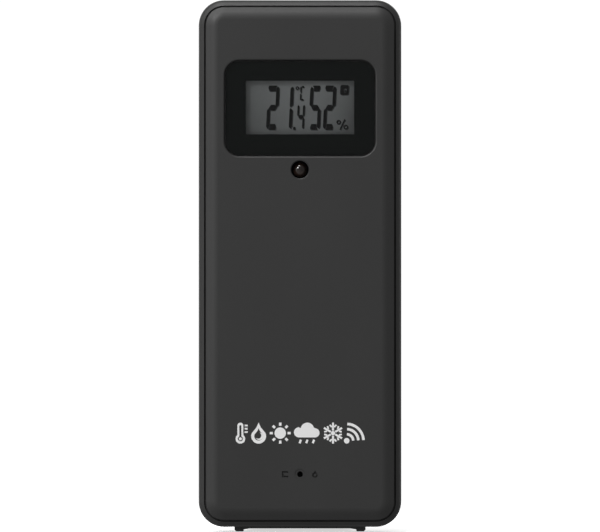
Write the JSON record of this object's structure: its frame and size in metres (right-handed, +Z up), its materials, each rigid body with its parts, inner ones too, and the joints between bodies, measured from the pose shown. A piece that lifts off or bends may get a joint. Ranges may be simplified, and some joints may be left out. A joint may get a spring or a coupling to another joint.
{
  "type": "wireless outdoor temperature and humidity sensor",
  "caption": "Upright dark grey outdoor sensor case with a smoked display window, status light and sensor pinhole, battery bay with cover, wall keyhole and fold-out stand.",
  "frame": {"origin": "centre of the bottom of the object's box with the stand leg out, on the ground plane under the feet", "axes": "+Z up, the display faces -Y, the stand leg points to +Y, +X to the right seen from the front"},
  "size_m": [0.04, 0.0506, 0.1049],
  "materials": {
    "shell_plastic": "fine matt texture, dark grey",
    "window_acrylic": "smoked, polished",
    "foam_tape": "black closed foam",
    "holder_plastic": "black, satin",
    "polariser_film": "grey film",
    "display_glass": "clear, thin",
    "reflector_film": "silver grey film",
    "contact_rubber": "layered conductive rubber",
    "board_laminate": "green solder mask",
    "radio_laminate": "blue solder mask",
    "screw_steel": "zinc plated",
    "chip_epoxy": "black moulded epoxy",
    "can_steel": "satin",
    "capacitor_ceramic": "tan, plain",
    "resistor_ceramic": "black glaze",
    "capacitor_sleeve": "shrunk sleeve",
    "pin_gold": "bright",
    "coil_copper": "enamelled copper wire",
    "light_resin": "dark red tinted resin",
    "lead_tin": "tinned",
    "sensor_plastic": "dark grey, slotted",
    "thermistor_glass": "black bead",
    "slider_plastic": "white",
    "switch_plastic": "black",
    "button_plastic": "mid grey",
    "gasket_rubber": "soft silicone, black",
    "cell_sleeve": "printed metal sleeve",
    "contact_nickel": "nickel plated spring steel"
  },
  "bodies": {
    "case": {"front_shell": "shell_plastic", "display_window": "window_acrylic", "window_adhesive": "foam_tape", "display_holder": "holder_plastic", "front_polariser": "polariser_film", "display_front_glass": "display_glass", "display_rear_glass": "display_glass", "display_reflector": "reflector_film", "contact_strip": "contact_rubber", "circuit_board": "board_laminate", "board_screws": "screw_steel", "controller_chip": "chip_epoxy", "clock_crystal": "can_steel", "chip_capacitors": "capacitor_ceramic", "chip_resistors": "resistor_ceramic", "electrolytic_capacitor": "capacitor_sleeve", "radio_board": "radio_laminate", "radio_chip": "chip_epoxy", "radio_filter": "can_steel", "radio_pins": "pin_gold", "antenna_coil": "coil_copper", "status_light": "light_resin", "light_leads": "lead_tin", "humidity_sensor": "sensor_plastic", "thermistor": "thermistor_glass", "channel_switch": "can_steel", "button_switches": "switch_plastic", "rear_shell": "shell_plastic", "case_gasket": "gasket_rubber", "housing_screws": "screw_steel", "left_cell": "cell_sleeve", "right_cell": "cell_sleeve", "positive_contact": "contact_nickel", "negative_contact": "contact_nickel", "bridge_contact": "contact_nickel", "negative_spring": "contact_nickel", "bridge_spring": "contact_nickel", "cover_gasket": "gasket_rubber"},
    "cover": {"battery_cover": "shell_plastic"},
    "stand": {"stand_leg": "shell_plastic"},
    "channel_knob": {"channel_slider": "slider_plastic"},
    "unit_key": {"unit_button": "button_plastic"},
    "transmit_key": {"transmit_button": "button_plastic"}
  },
  "joints": [
    {"name": "cover_hinge", "type": "hinge", "parent": "case", "child": "cover", "pos_m": [0, -0.0023, 0.0362], "axis": [-1, 0, 0], "range_deg": [0, 75]},
    {"name": "stand_hinge", "type": "hinge", "parent": "case", "child": "stand", "pos_m": [0, -0.0037, 0.0024], "axis": [1, 0, 0], "range_deg": [0, 90]},
    {"name": "channel_slide", "type": "slide", "parent": "case", "child": "channel_knob", "axis": [0, 0, -1], "range_m": [0, 0.004]},
    {"name": "unit_press", "type": "slide", "parent": "case", "child": "unit_key", "axis": [0, -1, 0], "range_m": [0, 0.0003], "stiffness_N_per_m": 1000},
    {"name": "transmit_press", "type": "slide", "parent": "case", "child": "transmit_key", "axis": [0, -1, 0], "range_m": [0, 0.0003], "stiffness_N_per_m": 1000}
  ]
}
